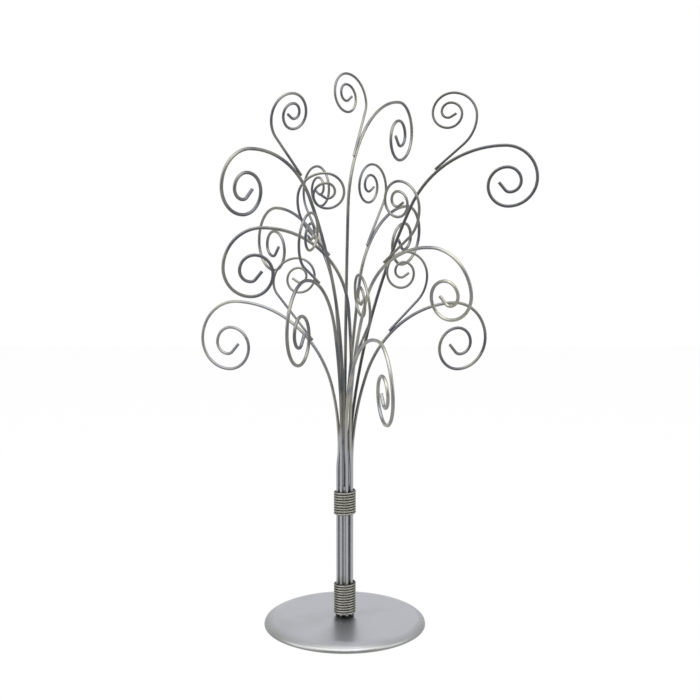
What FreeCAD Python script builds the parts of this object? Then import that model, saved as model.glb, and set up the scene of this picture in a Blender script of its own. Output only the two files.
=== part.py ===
import FreeCAD, Part
import math
import os

os.makedirs("parts", exist_ok=True)

V = FreeCAD.Vector

# Photo tree stand. Millimetres, +Z up, origin at the middle of the underside of the base pad.
# +X is the right of the stand seen from the front, and +Y points away to the back.

# Base plate and the foam pad under it
base_d = 127.0
base_t = 5.6
shoulder_r = 20.0
shoulder_turn = 30.0
base_edge_r = 3.0
pad_t = 0.8
pad_inset = 3.0

# Wires
wire_d = 2.4
shoot_d = 1.9
binding_d = 1.6
weld_gap = 0.05

# Trunk
outer_wires = 8
inner_wires = 3
first_slot = 16.0
first_inner_slot = -30.0
inner_gap = 0.2
tuck_gap = 0.15
core_gap = 0.2
bore_gap = 0.15
wrap_gap = 0.3
tuck_slot = 1.5
seat_gap = 0.05
core_top = 112.0
inner_seat = 26.0
spread_h = 129.0

# Bindings
binding_pitch = 2.05
lower_turns = 12
upper_turns = 9
lower_binding_z = 9.3
upper_binding_z = 89.7

# Foot collar and screw
collar_t = 1.6
collar_lip = 0.4
screw_d = 5.0
screw_len = 16.0
screw_head_d = 9.2
screw_head_t = 2.5
screw_gap = 0.05
screw_clear = 0.25
tap_extra = 2.0
socket_af = 3.0
socket_t = 1.6

# Tree: the highest crown, the usual reach of a branch, and the first bend of a full curl
crown_h = 410.0
reach = 100.0
curl_r = 28.0
shoot_curl_r = 19.5
run_len = 40.0
throat_r = 25.0
lean_r = 60.0

# The curls tighten a quarter turn at a time. Each share is of the first bend.
curl_shares = (1.00, 0.84, 0.60, 0.56, 0.41, 0.33)
curl_end_share = 0.18
curl_end_turn = 50.0
curl_tail_share = 0.285
shoot_shares = (1.00, 0.78, 0.64, 0.54, 0.48, 0.34, 0.27)
shoot_end_share = 0.20
shoot_end_turn = 32.0
shoot_tail_share = 0.26

# One row for each branch: the place of its wire in the trunk, the way it faces, and how it is bent.
# Facing is counted from +X towards +Y. Lean and knee are the wire's slants outwards, at the foot of the
# spread and between its two long bends. All angles are in degrees, with join, twist and the rest of the
# shoot's own columns after the gap. Side, reach and run are shares of the named lengths, crown of the
# highest crown, shoulder of the curl's first bend, and throat and both curls of their usual radius.
#  name                    ring      slot  face   lean  side   knee  reach  crown  curl   shoulder
#                                                              join  run   throat  curl   twist
branch_shares = (
    ("top_front_left",     "outer",  4,    226.0, -3.0,  0.25, 31.0, 1.085, 0.897, 0.870, 0.97,
                                                               46.0, 0.91, 0.74,   0.865, -5.0),
    ("mid_left",           "inner",  0,    202.0, -4.0,  0.17,  7.0, 0.730, 0.764, 0.935, 1.07,
                                                               43.0, 0.60, 1.56,   0.955, -21.0),
    ("low_left",           "outer",  3,    158.0, -2.0, -0.085, 16.0, 0.915, 0.613, 1.035, 1.04,
                                                               42.0, 1.16, 0.61,   0.970, 8.0),
    ("mid_back_left",      "outer",  2,    125.0,  0.0,  0.0,   8.0, 0.955, 0.792, 0.995, 1.01,
                                                               38.0, 1.03, 0.76,   1.100, -3.0),
    ("low_front_left",     "outer",  5,    251.0, -1.0,  0.025, 21.0, 0.825, 0.679, 1.040, 1.14,
                                                               67.0, 0.81, 0.83,   0.935, -4.0),
    ("top_back",           "inner",  1,     61.5,  0.0,  0.0,   3.0, 0.935, 1.000, 0.975, 0.86,
                                                               29.0, 0.98, 0.60,   1.045, -13.0),
    ("top_right",          "outer",  1,    348.5,  2.0,  0.345, 23.0, 1.150, 0.911, 0.920, 0.96,
                                                               48.0, 0.72, 1.16,   1.000, -8.0),
    ("mid_back",           "inner",  2,     56.5,  0.0, -0.14,  6.0, 0.705, 0.797, 1.010, 0.80,
                                                               32.0, 0.97, 0.60,   1.030, -3.0),
    ("mid_front_right",    "outer",  7,    319.0,  4.0, -0.275, 24.0, 0.955, 0.735, 0.845, 1.29,
                                                               53.0, 0.76, 1.08,   0.895, -5.0),
    ("low_right",          "outer",  0,     22.5,  0.0,  0.0,  20.0, 0.870, 0.613, 1.020, 1.03,
                                                               47.0, 0.82, 1.04,   1.000, 2.0),
    ("low_front",          "outer",  6,    282.5,  2.0, -0.06, 26.0, 1.225, 0.590, 0.990, 1.12,
                                                               59.0, 1.15, 0.60,   1.050, 3.0),
)

# Sizes that follow from the ones above
base_z = pad_t
base_top = pad_t + base_t
ring_r = (wire_d + binding_d + 2 * tuck_gap) / (2 * math.sin(math.pi / outer_wires))
inner_r = (wire_d + inner_gap) / (2 * math.sin(math.pi / inner_wires))
core_r = ring_r - wire_d / 2 - core_gap
core_bore_r = inner_r + wire_d / 2 + bore_gap
helix_r = ring_r + wire_d / 2 + wrap_gap + binding_d / 2
tuck_r = binding_d
collar_z = base_top
wire_foot_z = collar_z + collar_t + seat_gap
collar_r = ring_r + wire_d / 2 + collar_lip
screw_top = base_z + screw_len


def save(shape, name):
    shape.exportStep("parts/" + name + ".step")
    print(name, "volume", round(shape.Volume / 1000, 3), "cm3", "solids", len(shape.Solids))


def turned(outline):
    # a solid of revolution about Z from (radius, height) corners
    corners = [V(radius, 0, height) for radius, height in outline]
    face = Part.Face(Part.makePolygon(corners + corners[:1]))
    return face.revolve(V(0, 0, 0), V(0, 0, 1), 360)


def around(radius, degrees, height):
    angle = math.radians(degrees)
    return V(radius * math.cos(angle), radius * math.sin(angle), height)


# A bent wire is followed by a pen with a place and a heading, which draws straight runs and round bends.
class Pen:
    def __init__(self, place, heading):
        self.place = place
        self.heading = heading
        self.edges = []

    def run(self, length):
        end = self.place + self.heading * length
        self.edges.append(Part.makeLine(self.place, end))
        self.place = end

    def bend(self, inward, radius, degrees):
        # inward points from the wire to the centre of the bend, and the new inward direction comes back
        angle = math.radians(degrees)
        centre = self.place + inward * radius

        def on_bend(turn):
            return centre - inward * (radius * math.cos(turn)) + self.heading * (radius * math.sin(turn))

        end = on_bend(angle)
        self.edges.append(Part.Arc(self.place, on_bend(angle / 2), end).toShape())
        old = self.heading
        self.heading = old * math.cos(angle) + inward * math.sin(angle)
        self.place = end
        return inward * math.cos(angle) - old * math.sin(angle)


def round_wire(path, start, heading, diameter):
    rim = Part.Wire([Part.makeCircle(diameter / 2, start, heading)])
    return path.makePipeShell([rim], True, False)


def unit(vector):
    return vector * (1 / vector.Length)


# Base plate: a solid steel disc whose top rolls down to the rim, first in a wide shoulder and then in a small
# edge, with a clearance hole and a countersink below.
cone_t = (screw_head_d - screw_d) / 2
shoulder = math.radians(shoulder_turn)
rim_r = base_d / 2
flat_r = rim_r - base_edge_r * (1 - math.sin(shoulder)) - shoulder_r * math.sin(shoulder)


def rolled(start_r, start_z, radius, first, last):
    # an arc of the plate's outline, from slant first to slant last, and where it ends
    def on_arc(slant):
        run = radius * (math.sin(slant) - math.sin(first))
        drop = radius * (math.cos(first) - math.cos(slant))
        return V(start_r + run, 0, start_z - drop)

    end = on_arc(last)
    return Part.Arc(on_arc(first), on_arc((first + last) / 2), end).toShape(), end


wide_arc, wide_end = rolled(flat_r, base_top, shoulder_r, 0, shoulder)
edge_arc, edge_end = rolled(wide_end.x, wide_end.z, base_edge_r, shoulder, math.pi / 2)
outline = Part.Wire([
    Part.makeLine(V(0, 0, base_top), V(flat_r, 0, base_top)),
    wide_arc,
    edge_arc,
    Part.makeLine(edge_end, V(rim_r, 0, base_z)),
    Part.makeLine(V(rim_r, 0, base_z), V(0, 0, base_z)),
    Part.makeLine(V(0, 0, base_z), V(0, 0, base_top)),
])
plate = Part.Face(outline).revolve(V(0, 0, 0), V(0, 0, 1), 360)
sink_r = screw_head_d / 2 + screw_gap
hole_r = screw_d / 2 + screw_clear
land_t = screw_head_t - cone_t
sink = turned([
    (0, 0),
    (sink_r, 0),
    (sink_r, base_z + land_t),
    (hole_r, base_z + land_t + sink_r - hole_r),
    (hole_r, base_top + base_t),
    (0, base_top + base_t),
])
save(plate.cut(sink), "base_disc")

# Base pad: a thin foam disc glued under the plate, which also hides the screw.
save(Part.makeCylinder(base_d / 2 - pad_inset, pad_t - seat_gap), "base_pad")

# Base screw: countersunk, with a hexagon socket, up through the plate into the foot of the core.
head_r = screw_head_d / 2
screw = turned([
    (0, base_z),
    (head_r, base_z),
    (head_r, base_z + land_t - screw_gap),
    (screw_d / 2, base_z + screw_head_t - screw_gap),
    (screw_d / 2, screw_top),
    (0, screw_top),
])
socket_r = socket_af / math.sqrt(3)
socket_corners = [around(socket_r, 60 * corner, base_z) for corner in range(7)]
socket = Part.Face(Part.makePolygon(socket_corners)).extrude(V(0, 0, socket_t))
save(screw.cut(socket), "base_screw")

# Trunk core: a steel rod tapped from below for the screw and bored from above for the three inner wires.
core = Part.makeCylinder(core_r, core_top - base_top, V(0, 0, base_top))
tapped = Part.makeCylinder(screw_d / 2 + screw_gap, screw_top + tap_extra - base_top, V(0, 0, base_top))
bored = Part.makeCylinder(core_bore_r, core_top - inner_seat, V(0, 0, inner_seat))
save(core.cut(tapped).cut(bored), "trunk_core")

# Foot collar: the low ring on the plate that the eight outer wires stand on.
collar = Part.makeCylinder(collar_r, collar_t, V(0, 0, collar_z))
collar = collar.cut(Part.makeCylinder(core_r + seat_gap, collar_t, V(0, 0, collar_z)))
save(collar, "foot_collar")


# Bindings: one soft wire wound round the eight outer wires. Both ends bend in between two of them at the
# back and stop square on the core.
def helix_point(angle, first_angle, z):
    climb = binding_pitch * (angle - first_angle) / (2 * math.pi)
    return V(helix_r * math.cos(angle), helix_r * math.sin(angle), z + climb)


def helix_heading(angle):
    return unit(V(-helix_r * math.sin(angle), helix_r * math.cos(angle), binding_pitch / (2 * math.pi)))


def level_heading(angle):
    return V(-math.sin(angle), math.cos(angle), 0)


def arc_to(start, heading, end):
    # the one arc that leaves start along heading and reaches end
    chord = end - start
    side = chord - heading * chord.dot(heading)
    radius = chord.dot(chord) / (2 * side.Length)
    centre = start + unit(side) * radius
    middle = unit((start - centre) + (end - centre)) * radius
    return Part.Arc(start, centre + middle, end).toShape()


def biarc(start, heading, end, last_heading):
    # two arcs that meet smoothly halfway, from one place and heading to another
    chord = end - start
    both = heading + last_heading
    a = 4 - both.dot(both)
    b = 2 * chord.dot(both)
    handle = (-b + math.sqrt(b * b + 4 * a * chord.dot(chord))) / (2 * a)
    meet = (start + heading * handle + end - last_heading * handle) * 0.5
    return [arc_to(start, heading, meet), arc_to(end, last_heading * -1, meet)]


def least_gap(path, diameter, step):
    # the narrowest gap between turns, measured on points along the winding
    points = path.discretize(Distance=step)
    skip = int(math.ceil(4 * diameter / step))
    least = None
    for first in range(len(points)):
        for second in range(first + skip, len(points)):
            apart = (points[first] - points[second]).Length
            if least is None or apart < least:
                least = apart
    return least - diameter


def tuck(place, heading, angle, turn_in, length):
    # the end of a winding, bent in between two outer wires and run straight to the core
    pen = Pen(place, heading)
    pen.bend(V(-math.cos(angle), -math.sin(angle), 0), tuck_r, math.degrees(turn_in))
    pen.run(length)
    return pen


def binding(z, turns, name):
    turn_in = math.acos(-tuck_r / (helix_r - tuck_r))
    swing = math.atan2(tuck_r * math.sin(turn_in), helix_r - tuck_r * (1 - math.cos(turn_in)))
    bend_end_r = math.sqrt(helix_r * helix_r - 2 * helix_r * tuck_r)
    tuck_len = bend_end_r - core_r - seat_gap
    gap_angle = math.radians(first_slot + 360 / outer_wires * tuck_slot)
    first_angle = gap_angle + swing
    last_angle = gap_angle + 2 * math.pi * turns - swing
    lower = tuck(helix_point(first_angle, first_angle, z), level_heading(first_angle) * -1,
                 first_angle, turn_in, tuck_len)
    upper = tuck(helix_point(last_angle, first_angle, z), level_heading(last_angle),
                 last_angle, turn_in, tuck_len)
    quarters = int(round((last_angle - first_angle) / (math.pi / 2)))
    step = (last_angle - first_angle) / quarters
    edges = []
    for quarter in range(quarters):
        start = first_angle + quarter * step
        end = start + step
        heading = level_heading(start) if quarter == 0 else helix_heading(start)
        last_heading = level_heading(end) if quarter == quarters - 1 else helix_heading(end)
        start_point = helix_point(start, first_angle, z)
        edges += biarc(start_point, heading, helix_point(end, first_angle, z), last_heading)
    path = Part.Wire(Part.__sortEdges__(lower.edges + edges + upper.edges))
    print(name, "turns clear each other by", round(least_gap(path, binding_d, binding_d / 3), 2))
    save(round_wire(path, lower.place, lower.heading * -1, binding_d), name)


binding(lower_binding_z, lower_turns, "lower_binding")
binding(upper_binding_z, upper_turns, "upper_binding")


# Branches: each is a main wire from the trunk that ends in a curl, and a thinner shoot welded on its upper
# side, which curls back the other way.
def bend_radii(go, rise, first, last):
    # the two round bends that turn a wire from slant first to slant last and then to level, over go and rise
    m11 = math.cos(first) - math.cos(last)
    m12 = math.cos(last)
    m21 = math.sin(last) - math.sin(first)
    m22 = 1 - math.sin(last)
    det = m11 * m22 - m12 * m21
    return (go * m22 - m12 * rise) / det, (m11 * rise - go * m21) / det


def curl(pen, inward, first_r, bends, end_share, end_turn, tail_share):
    # quarter turns that tighten inwards, a short end bend, and a straight tail
    for share in bends:
        inward = pen.bend(inward, first_r * share, 90)
    pen.bend(inward, first_r * end_share, end_turn)
    pen.run(first_r * tail_share)


def branch(name, ring, slot, facing, lean, side, knee, reach_share, crown_share, curl_share, shoulder_share,
           join, run_share, throat_share, shoot_share, twist):
    if ring == "outer":
        foot = around(ring_r, first_slot + 360 / outer_wires * slot, wire_foot_z)
    else:
        foot = around(inner_r, first_inner_slot + 360 / inner_wires * slot, inner_seat + seat_gap)
    out = around(1, facing, 0)
    across = around(1, facing + 90, 0)
    height = crown_h * crown_share - spread_h
    tilt = math.atan(reach * side / height)
    up = V(0, 0, 1) * math.cos(tilt) + across * math.sin(tilt)
    lean_angle = math.radians(lean)
    knee_angle = math.radians(knee)
    slant = out * math.sin(lean_angle) + up * math.cos(lean_angle)
    # the small bend where the wires start to spread
    pen = Pen(foot, V(0, 0, 1))
    turn = math.acos(min(1, slant.z))
    cut_back = lean_r * math.tan(turn / 2)
    pen.run(spread_h - cut_back - foot.z)
    if turn > 0:
        pen.bend(unit(slant - V(0, 0, slant.z)), lean_r, math.degrees(turn))
        pen.heading = slant
    # two long bends carry the wire from there to its crown
    rise = height / math.cos(tilt) - cut_back * math.cos(lean_angle)
    go = reach * reach_share - cut_back * math.sin(lean_angle)
    stem_r, crown_r = bend_radii(go, rise, lean_angle, knee_angle)
    inward = out * math.cos(lean_angle) - up * math.sin(lean_angle)
    pen.bend(inward, stem_r, knee - lean)
    inward = out * math.cos(knee_angle) - up * math.sin(knee_angle)
    crown_centre = pen.place + inward * crown_r
    inward = pen.bend(inward, crown_r, 90 - knee)
    main_bends = (shoulder_share,) + curl_shares[1:]
    curl(pen, inward, curl_r * curl_share, main_bends, curl_end_share, curl_end_turn, curl_tail_share)
    save(round_wire(Part.Wire(pen.edges), foot, V(0, 0, 1), wire_d), "branch_" + name)
    # the shoot, which starts beside the main wire where that has turned by the join angle
    join_angle = math.radians(join)
    way = out * math.sin(join_angle) + up * math.cos(join_angle)
    upper = up * math.sin(join_angle) - out * math.cos(join_angle)
    cut_end = crown_centre + upper * (crown_r + wire_d / 2 + weld_gap + shoot_d / 2)
    pen = Pen(cut_end, way)
    pen.run(run_len * run_share)
    twist_angle = math.radians(twist)
    inward = upper * math.cos(twist_angle) + way.cross(upper) * math.sin(twist_angle)
    inward = pen.bend(inward, throat_r * throat_share, join)
    shoot_r = shoot_curl_r * shoot_share
    curl(pen, inward, shoot_r, shoot_shares, shoot_end_share, shoot_end_turn, shoot_tail_share)
    save(round_wire(Part.Wire(pen.edges), cut_end, way, shoot_d), "shoot_" + name)
    print(name, "long bends", round(stem_r), "and", round(crown_r), "mm")


for row in branch_shares:
    branch(*row)
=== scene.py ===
import math

import bpy
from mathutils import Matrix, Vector

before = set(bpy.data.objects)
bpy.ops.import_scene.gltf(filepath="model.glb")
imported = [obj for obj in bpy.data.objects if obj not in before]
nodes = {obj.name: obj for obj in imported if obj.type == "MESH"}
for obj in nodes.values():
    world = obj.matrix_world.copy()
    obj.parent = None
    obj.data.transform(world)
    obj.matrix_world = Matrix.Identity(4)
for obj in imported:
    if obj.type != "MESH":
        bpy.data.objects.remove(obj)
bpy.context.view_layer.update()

# The stand as its CAD frame gives it, in metres, before anything is added.
mm = 0.001

# Photographer's view: the lens is a little above the middle of the tree, close to it and tipped down,
# so the base shows as a flat oval. The stand is seen square from its front.
camera_place = Vector((0.0, -0.890, 0.3448))
camera_tip = math.radians(8.08)
picture_side = 700
lens_pixels = 1173.8
axis_left_of_middle = 5.2
film_width = 36.0
nearest_seen = 0.05
farthest_seen = 20.0

camera_data = bpy.data.cameras.new("camera")
camera_data.sensor_width = film_width
camera_data.lens = film_width * lens_pixels / picture_side
camera_data.shift_x = axis_left_of_middle / picture_side
camera_data.clip_start = nearest_seen
camera_data.clip_end = farthest_seen
camera = bpy.data.objects.new("camera", camera_data)
camera.location = camera_place
camera.rotation_euler = (math.pi / 2 - camera_tip, 0.0, 0.0)
bpy.context.scene.collection.objects.link(camera)
bpy.context.scene.camera = camera
bpy.context.scene.view_settings.view_transform = "Standard"

# Base plate: a heavy steel disc, turned so that its edge rolls down to the table, brushed in fine rings and coated
# in satin pewter lacquer. The lacquer almost hides the rings. The rolled edge is coloured darker as painted shade.
plate_colour = "b0b2b8"
plate_shade_colour = "a8aaaf"
rolled_edge_painted_shade = "8e8f8d"
rolled_from = 56 * mm
rolled_to = 64 * mm
flat_tone = 0.7
patch_share = 0.6
plate_patch = 34 * mm
brush_spacing = 0.9 * mm         # the real rings are finer, and are drawn this coarse so that they show
brush_depth = 0.05 * mm
grain_size = 0.5 * mm
waves_per_unit = 20 / (2 * math.pi)


def linear(code):
    # an sRGB hex colour as linear red, green, blue, alpha
    parts = [int(code[k:k + 2], 16) / 255 for k in (0, 2, 4)]
    bent = [p / 12.92 if p <= 0.04045 else ((p + 0.055) / 1.055) ** 2.4 for p in parts]
    return (*bent, 1.0)


def add_node(tree, kind, settings=None, links=None):
    # one node with its settings by socket or attribute name, and its inputs linked from other nodes' outputs
    node = tree.nodes.new(kind)
    for name, value in (settings or {}).items():
        if name in node.inputs:
            node.inputs[name].default_value = value
        else:
            setattr(node, name, value)
    for name, source in (links or {}).items():
        tree.links.new(source, node.inputs[name])
    return node


def new_material(name):
    material = bpy.data.materials.new(name)
    material.use_nodes = True
    material.node_tree.nodes.clear()
    return material, material.node_tree


def tones(tree, fac, *stops):
    # a colour that follows fac through stops of (place from 0 to 1, colour)
    ramp = add_node(tree, "ShaderNodeValToRGB", None, {"Fac": fac})
    elements = ramp.color_ramp.elements
    while len(elements) < len(stops):
        elements.new(1.0)
    for element, (position, code) in zip(elements, stops):
        element.position = position
        element.color = linear(code)
    return ramp.outputs["Color"]


def level_radius(tree, place):
    # the distance from the stand's upright axis
    level = add_node(tree, "ShaderNodeVectorMath", {"operation": "MULTIPLY"})
    tree.links.new(place, level.inputs[0])
    level.inputs[1].default_value = (1.0, 1.0, 0.0)
    radius = add_node(tree, "ShaderNodeVectorMath", {"operation": "LENGTH"})
    tree.links.new(level.outputs["Vector"], radius.inputs[0])
    return radius.outputs["Value"]


def dress(names, material):
    # a frame piece keeps its mesh and takes the material in its slots
    for name in names:
        mesh = nodes[name].data
        mesh.materials.clear()
        mesh.materials.append(material)


# satin lacquer: the highlights are soft and wide, and faint rings break them up close to
plate_material, tree = new_material("pewter_lacquered_steel")
place = add_node(tree, "ShaderNodeTexCoord").outputs["Object"]
patches = add_node(tree, "ShaderNodeTexNoise", {"Scale": 1 / plate_patch, "Detail": 2.0}, {"Vector": place})
# painted shade: the colour runs darker out across the rolled edge, from rolled_from to rolled_to
flat = add_node(tree, "ShaderNodeMapRange", {
    "From Min": rolled_from, "From Max": rolled_to, "To Min": flat_tone, "To Max": 0.0},
    {"Value": level_radius(tree, place)})
tone = add_node(tree, "ShaderNodeMath", {"operation": "MULTIPLY_ADD"})
tree.links.new(patches.outputs["Fac"], tone.inputs[0])
tone.inputs[1].default_value = patch_share
tree.links.new(flat.outputs["Result"], tone.inputs[2])
colour = tones(tree, tone.outputs["Value"], (0.3, rolled_edge_painted_shade), (0.9, plate_shade_colour), (1.0, plate_colour))
rings = add_node(tree, "ShaderNodeTexWave", {
    "wave_type": "RINGS", "rings_direction": "Z", "Scale": 1 / brush_spacing / waves_per_unit,
    "Distortion": 1.6, "Detail": 2.0, "Detail Scale": 1.2}, {"Vector": place})
grain = add_node(tree, "ShaderNodeTexNoise", {"Scale": 1 / grain_size, "Detail": 2.0}, {"Vector": place})
both = add_node(tree, "ShaderNodeMix", {"Factor": 0.5}, {"A": rings.outputs["Fac"], "B": grain.outputs["Fac"]})
rough = add_node(tree, "ShaderNodeMapRange", {"To Min": 0.30, "To Max": 0.42}, {"Value": both.outputs["Result"]})
bump = add_node(tree, "ShaderNodeBump", {"Strength": 0.10, "Distance": brush_depth},
                {"Height": both.outputs["Result"]})
shader = add_node(tree, "ShaderNodeBsdfPrincipled", {"Metallic": 1.0},
                  {"Base Color": colour, "Roughness": rough.outputs["Result"], "Normal": bump.outputs["Normal"]})
add_node(tree, "ShaderNodeOutputMaterial", None, {"Surface": shader.outputs["BSDF"]})
dress(["base_disc"], plate_material)

# Branch wires, shoots and trunk core: drawn steel wire with a satin pewter finish, cut, bent cold and welded.
# Some wires are coloured darker or paler than the rest. The colour is painted paler low down, where the wires bunch:
# painted light.
wire_tones = {                   # a bluish grey and an olive grey for each finish
    "satin_pewter_wire": ("606166", "7f7e77"),
    "dark_pewter_wire": ("545558", "575651"),
    "pale_pewter_wire": ("7a7b7f", "99988f"),
}
wire_painted_light_colour = "a8a9ac"
# these wires are coloured darker or paler than the rest
dark_wires = ["branch_top_right", "shoot_top_right"]
pale_wires = ["branch_low_left", "branch_low_front", "branch_mid_front_right"]
wire_patch = 26 * mm
painted_light_below = 125 * mm
painted_light_fades_by = 190 * mm
painted_light_tone = 0.6
wire_grain = 0.6 * mm
draw_depth = 0.04 * mm


def wire_finish(name):
    # satin: a soft pale line along the wire, while the two greys run into each other in patches
    bluish, olive = wire_tones[name]
    material, tree = new_material(name)
    place = add_node(tree, "ShaderNodeTexCoord").outputs["Object"]
    height = add_node(tree, "ShaderNodeSeparateXYZ", None, {"Vector": place}).outputs["Z"]
    # painted light: low down on the trunk, where the wires bunch, the colour runs paler
    painted_light_ramp = add_node(tree, "ShaderNodeMapRange", {
        "From Min": painted_light_below, "From Max": painted_light_fades_by, "To Min": painted_light_tone, "To Max": 0.0}, {"Value": height})
    patches = add_node(tree, "ShaderNodeTexNoise", {"Scale": 1 / wire_patch, "Detail": 2.0}, {"Vector": place})
    tone = add_node(tree, "ShaderNodeMath", {"operation": "ADD"})
    tree.links.new(painted_light_ramp.outputs["Result"], tone.inputs[0])
    tree.links.new(patches.outputs["Fac"], tone.inputs[1])
    colour = tones(tree, tone.outputs["Value"], (0.40, bluish), (0.60, olive), (0.80, olive),
                   (1.00, wire_painted_light_colour))
    grain = add_node(tree, "ShaderNodeTexNoise", {"Scale": 1 / wire_grain, "Detail": 2.0}, {"Vector": place})
    rough = add_node(tree, "ShaderNodeMapRange", {"To Min": 0.32, "To Max": 0.40}, {"Value": grain.outputs["Fac"]})
    bump = add_node(tree, "ShaderNodeBump", {"Strength": 0.02, "Distance": draw_depth},
                    {"Height": grain.outputs["Fac"]})
    shader = add_node(tree, "ShaderNodeBsdfPrincipled", {"Metallic": 1.0},
                      {"Base Color": colour, "Roughness": rough.outputs["Result"], "Normal": bump.outputs["Normal"]})
    add_node(tree, "ShaderNodeOutputMaterial", None, {"Surface": shader.outputs["BSDF"]})
    return material


plain_wires = [name for name in nodes if name.startswith(("branch_", "shoot_"))
               and name not in dark_wires + pale_wires]
dress(plain_wires + ["trunk_core"], wire_finish("satin_pewter_wire"))
dress(dark_wires, wire_finish("dark_pewter_wire"))
dress(pale_wires, wire_finish("pale_pewter_wire"))

# Bindings and foot collar: soft wire wound tight round the trunk, and the low ring that the wires stand on, all in
# antique pewter plating. It is rubbed bright on the crowns of the turns and stays dark in the grooves. The foot
# collar under them is coloured dark all over: painted shadow.
binding_colour = "8a8981"
patina_and_painted_shade_colour = "262622"
groove_r = 8.15 * mm
crown_r = 8.60 * mm
binding_patch = 5 * mm

# worn plating: bright where a thumb reaches, almost black where it doesn't
binding_material, tree = new_material("antique_pewter_binding")
place = add_node(tree, "ShaderNodeTexCoord").outputs["Object"]
wear_and_painted_shade = add_node(tree, "ShaderNodeMapRange", {"From Min": groove_r, "From Max": crown_r},
                {"Value": level_radius(tree, place)})
colour = tones(tree, wear_and_painted_shade.outputs["Result"], (0.0, patina_and_painted_shade_colour), (1.0, binding_colour))
patches = add_node(tree, "ShaderNodeTexNoise", {"Scale": 1 / binding_patch, "Detail": 3.0}, {"Vector": place})
rough = add_node(tree, "ShaderNodeMapRange", {"To Min": 0.22, "To Max": 0.36}, {"Value": patches.outputs["Fac"]})
shader = add_node(tree, "ShaderNodeBsdfPrincipled", {"Metallic": 1.0},
                  {"Base Color": colour, "Roughness": rough.outputs["Result"]})
add_node(tree, "ShaderNodeOutputMaterial", None, {"Surface": shader.outputs["BSDF"]})
# the foot collar lies inside groove_r, so it takes the near-black colour all over: painted shadow under the lower
# binding
dress(["lower_binding", "upper_binding", "foot_collar"], binding_material)

# Base screw: a plain countersunk screw of zinc-plated steel, driven up into the trunk and hidden by the pad.
# Its finish is that of any bought screw: pale, slightly blue and a little cloudy.
screw_colour = "b4b6ba"
cloud_size = 1.5 * mm

# zinc plate: soft highlights that change a little over the head
screw_material, tree = new_material("zinc_plated_steel")
place = add_node(tree, "ShaderNodeTexCoord").outputs["Object"]
clouds = add_node(tree, "ShaderNodeTexNoise", {"Scale": 1 / cloud_size, "Detail": 2.0}, {"Vector": place})
rough = add_node(tree, "ShaderNodeMapRange", {"To Min": 0.28, "To Max": 0.42}, {"Value": clouds.outputs["Fac"]})
shader = add_node(tree, "ShaderNodeBsdfPrincipled", {"Metallic": 1.0, "Base Color": linear(screw_colour)},
                  {"Roughness": rough.outputs["Result"]})
add_node(tree, "ShaderNodeOutputMaterial", None, {"Surface": shader.outputs["BSDF"]})
dress(["base_screw"], screw_material)

# Base pad: thin closed-cell foam rubber, die-cut and glued under the plate so that it doesn't scratch the table.
# It shows only as a dark line under the rim.
foam_colour = "2f2f31"
foam_cell_colour = "1b1b1c"
foam_cell = 0.8 * mm
foam_depth = 0.2 * mm

# foam rubber: no shine, and small cells that show as dark points on the cut face
pad_material, tree = new_material("black_foam_rubber")
place = add_node(tree, "ShaderNodeTexCoord").outputs["Object"]
cells = add_node(tree, "ShaderNodeTexVoronoi", {"Scale": 1 / foam_cell}, {"Vector": place})
colour = tones(tree, cells.outputs["Distance"], (0.0, foam_cell_colour), (1.0, foam_colour))
bump = add_node(tree, "ShaderNodeBump", {"Strength": 0.5, "Distance": foam_depth},
                {"Height": cells.outputs["Distance"]})
shader = add_node(tree, "ShaderNodeBsdfPrincipled", {"Roughness": 0.85},
                  {"Base Color": colour, "Normal": bump.outputs["Normal"]})
add_node(tree, "ShaderNodeOutputMaterial", None, {"Surface": shader.outputs["BSDF"]})
dress(["base_pad"], pad_material)

# Table and studio: a sheet of white paper under the stand and a white surround. Both show as plain white, also
# in the metal, where only the dim room behind the lens shows darker. The paper keeps a trace of the stand's shadow.
floor_half = 1.6
paper_colour = "f2f2f2"
white_colour = "ffffff"
shown_share = 0.975
surround_light = 0.30
room_light = 0.35
room_middle = -1.0               # how far a direction points to the lens side, from -1 straight at it
room_end = -0.2


def shown_rays(tree):
    # 1 for rays that show the surround: straight to the lens, or by way of metal or glass
    path = add_node(tree, "ShaderNodeLightPath")
    direct = add_node(tree, "ShaderNodeMath", {"operation": "MAXIMUM"})
    tree.links.new(path.outputs["Is Camera Ray"], direct.inputs[0])
    tree.links.new(path.outputs["Is Glossy Ray"], direct.inputs[1])
    shown = add_node(tree, "ShaderNodeMath", {"operation": "MAXIMUM"})
    tree.links.new(direct.outputs["Value"], shown.inputs[0])
    tree.links.new(path.outputs["Is Transmission Ray"], shown.inputs[1])
    return shown.outputs["Value"]


floor_mesh = bpy.data.meshes.new("floor")
floor_corners = [(-floor_half, -floor_half, 0), (floor_half, -floor_half, 0),
                 (floor_half, floor_half, 0), (-floor_half, floor_half, 0)]
floor_mesh.from_pydata(floor_corners, [], [(0, 1, 2, 3)])
floor = bpy.data.objects.new("floor", floor_mesh)
bpy.context.scene.collection.objects.link(floor)
floor_material, tree = new_material("white_paper_floor")
share = add_node(tree, "ShaderNodeMath", {"operation": "MULTIPLY"})
tree.links.new(shown_rays(tree), share.inputs[0])
share.inputs[1].default_value = shown_share
matt = add_node(tree, "ShaderNodeBsdfDiffuse", {"Color": linear(paper_colour)})
white = add_node(tree, "ShaderNodeEmission", {"Color": linear(white_colour), "Strength": 1.0})
mix = add_node(tree, "ShaderNodeMixShader", None, {"Fac": share.outputs["Value"]})
tree.links.new(matt.outputs["BSDF"], mix.inputs[1])
tree.links.new(white.outputs["Emission"], mix.inputs[2])
add_node(tree, "ShaderNodeOutputMaterial", None, {"Surface": mix.outputs["Shader"]})
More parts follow.
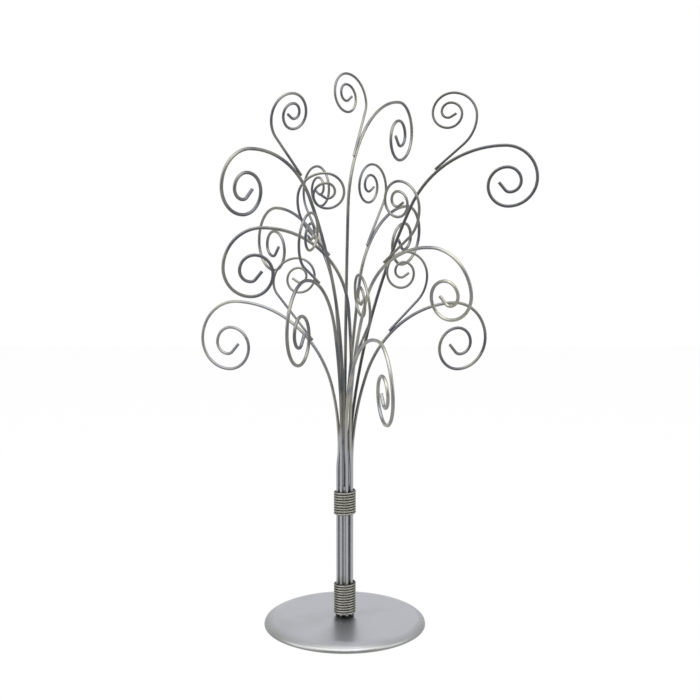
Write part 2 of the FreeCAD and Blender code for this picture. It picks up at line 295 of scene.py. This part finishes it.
floor_mesh.materials.append(floor_material)

world = bpy.data.worlds.new("white_studio")
bpy.context.scene.world = world
world.use_nodes = True
tree = world.node_tree
tree.nodes.clear()
dim = add_node(tree, "ShaderNodeBackground", {"Color": linear(white_colour), "Strength": surround_light})
direction = add_node(tree, "ShaderNodeTexCoord").outputs["Generated"]
away = add_node(tree, "ShaderNodeSeparateXYZ", None, {"Vector": direction}).outputs["Y"]
fade = add_node(tree, "ShaderNodeMapRange", {
    "From Min": room_middle, "From Max": room_end, "To Min": room_light, "To Max": 1.0}, {"Value": away})
white_to_lens = add_node(tree, "ShaderNodeMath", {"operation": "MAXIMUM"})
tree.links.new(fade.outputs["Result"], white_to_lens.inputs[0])
tree.links.new(add_node(tree, "ShaderNodeLightPath").outputs["Is Camera Ray"], white_to_lens.inputs[1])
bright = add_node(tree, "ShaderNodeBackground", {"Color": linear(white_colour)},
                  {"Strength": white_to_lens.outputs["Value"]})
mix = add_node(tree, "ShaderNodeMixShader", None, {"Fac": shown_rays(tree)})
tree.links.new(dim.outputs["Background"], mix.inputs[1])
tree.links.new(bright.outputs["Background"], mix.inputs[2])
add_node(tree, "ShaderNodeOutputWorld", None, {"Surface": mix.outputs["Shader"]})

# Lamps: three wide soft sheets of plain light. The one overhead picks out the rolled edge of the base and the tops
# of the curls, and those on each side draw the pale lines along the wires and the dashes on the bindings.
aim = Vector((0.0, 0.0, 0.25))
lamps = (                        # name, place, width and watts
    ("top_sheet", (0.0, -0.4, 1.4), 1.8, 23.0),
    ("left_sheet", (-1.2, -0.6, 0.9), 1.4, 9.0),
    ("right_sheet", (1.3, -0.5, 0.9), 1.3, 6.5),
)
for name, where, width, watts in lamps:
    lamp_data = bpy.data.lights.new(name, "AREA")
    lamp_data.shape = "DISK"
    lamp_data.size = width
    lamp_data.energy = watts
    lamp = bpy.data.objects.new(name, lamp_data)
    lamp.location = where
    lamp.rotation_euler = (aim - lamp.location).to_track_quat("-Z", "Y").to_euler()
    bpy.context.scene.collection.objects.link(lamp)
